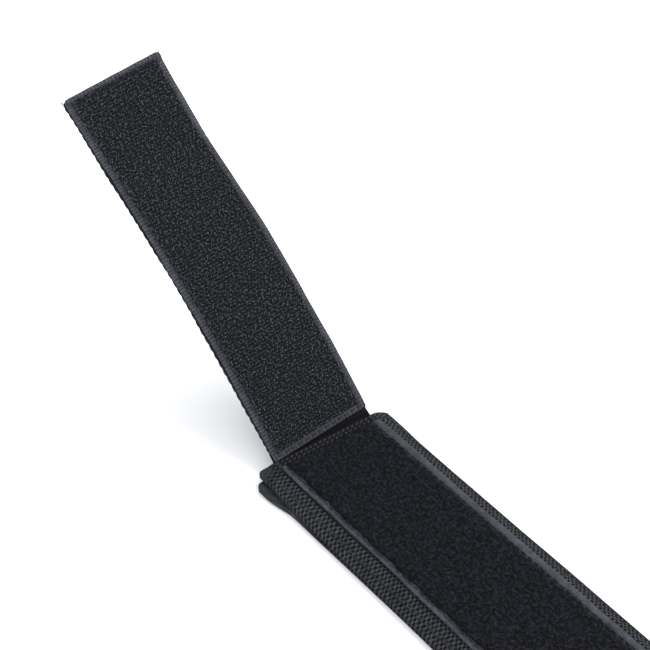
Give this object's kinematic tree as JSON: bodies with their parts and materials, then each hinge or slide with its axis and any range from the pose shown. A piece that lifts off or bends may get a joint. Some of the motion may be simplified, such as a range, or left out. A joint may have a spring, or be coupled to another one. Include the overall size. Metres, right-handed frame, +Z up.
{
  "type": "windlass tourniquet",
  "caption": "Windlass tourniquet strap: hook-faced pull tab, two-layer sleeve with loop tape, inner tension strap, turning rod with clip and closure strap, and routing buckle.",
  "frame": {"origin": "underside of the base plate, on the windlass rod's turning axis", "axes": "+X along the strap from the pull tab to the buckle, +Y across it towards the closure strap's side, +Z up off the limb, through the loop face"},
  "size_m": [0.9191, 0.1578, 0.0874],
  "materials": {
    "webbing_black": "coarse woven",
    "loop_pile_black": "napped",
    "hook_black": "satin",
    "thread_black": "twisted thread",
    "moulded_black": "fine texture",
    "rivet_steel": "satin",
    "label_grey": "matt"
  },
  "bodies": {
    "band": {"sleeve_upper": "webbing_black", "sleeve_lower": "webbing_black", "loop_tape": "webbing_black", "loop_pile": "loop_pile_black", "loop_seam_left": "thread_black", "loop_seam_right": "thread_black", "edge_seam_left": "thread_black", "edge_seam_right": "thread_black", "mouth_stitch_1": "thread_black", "mouth_stitch_2": "thread_black", "window_bartack_front": "thread_black", "window_bartack_rear": "thread_black", "tab_tail": "webbing_black", "tension_strap_front": "webbing_black", "tension_strap_rear": "webbing_black", "base_plate": "moulded_black", "windlass_clip": "moulded_black", "clip_rivet_1": "rivet_steel", "clip_rivet_2": "rivet_steel", "clip_rivet_3": "rivet_steel", "clip_rivet_4": "rivet_steel", "closure_anchor": "webbing_black", "closure_anchor_stitch": "thread_black", "closure_landing": "loop_pile_black", "buckle_box_stitch": "thread_black"},
    "tab": {"tab_webbing": "webbing_black", "hook_tape": "hook_black", "hook_field": "hook_black", "hook_seam_left": "thread_black", "hook_seam_right": "thread_black", "hook_seam_root": "thread_black", "hook_seam_tip": "thread_black"},
    "windlass": {"windlass_rod": "moulded_black", "tension_bight": "webbing_black"},
    "closure_riser": {"closure_riser": "webbing_black"},
    "closure_cover": {"closure_cover": "webbing_black", "closure_hook_patch": "hook_black", "closure_label": "label_grey"},
    "buckle": {"buckle": "moulded_black"}
  },
  "joints": [
    {"name": "tab_flex", "type": "hinge", "parent": "band", "child": "tab", "pos_m": [-0.664, 0, 0.0026], "axis": [0, 1, 0], "range_deg": [-36, 55], "stiffness_Nm_per_rad": 0.06, "springref_deg": 4.01},
    {"name": "windlass_turn", "type": "hinge", "parent": "band", "child": "windlass", "pos_m": [0, 0, 0.0129], "axis": [0, 0, 1], "range_deg": [0, 155], "deforming": ["tension_bight"]},
    {"name": "closure_riser_fold", "type": "hinge", "parent": "band", "child": "closure_riser", "pos_m": [-0.05, 0.0393, 0.0024], "axis": [1, 0, 0], "range_deg": [0, 90]},
    {"name": "closure_cover_fold", "type": "hinge", "parent": "closure_riser", "child": "closure_cover", "pos_m": [-0.05, 0.0615, 0.0024], "axis": [1, 0, 0], "range_deg": [0, 90]},
    {"name": "buckle_pivot", "type": "hinge", "parent": "band", "child": "buckle", "pos_m": [0.11, 0, 0.004], "axis": [0, -1, 0], "range_deg": [-60, 100]}
  ],
  "couplings": [
    {"joint": "closure_cover_fold", "follows": "closure_riser_fold", "ratio": 1}
  ]
}
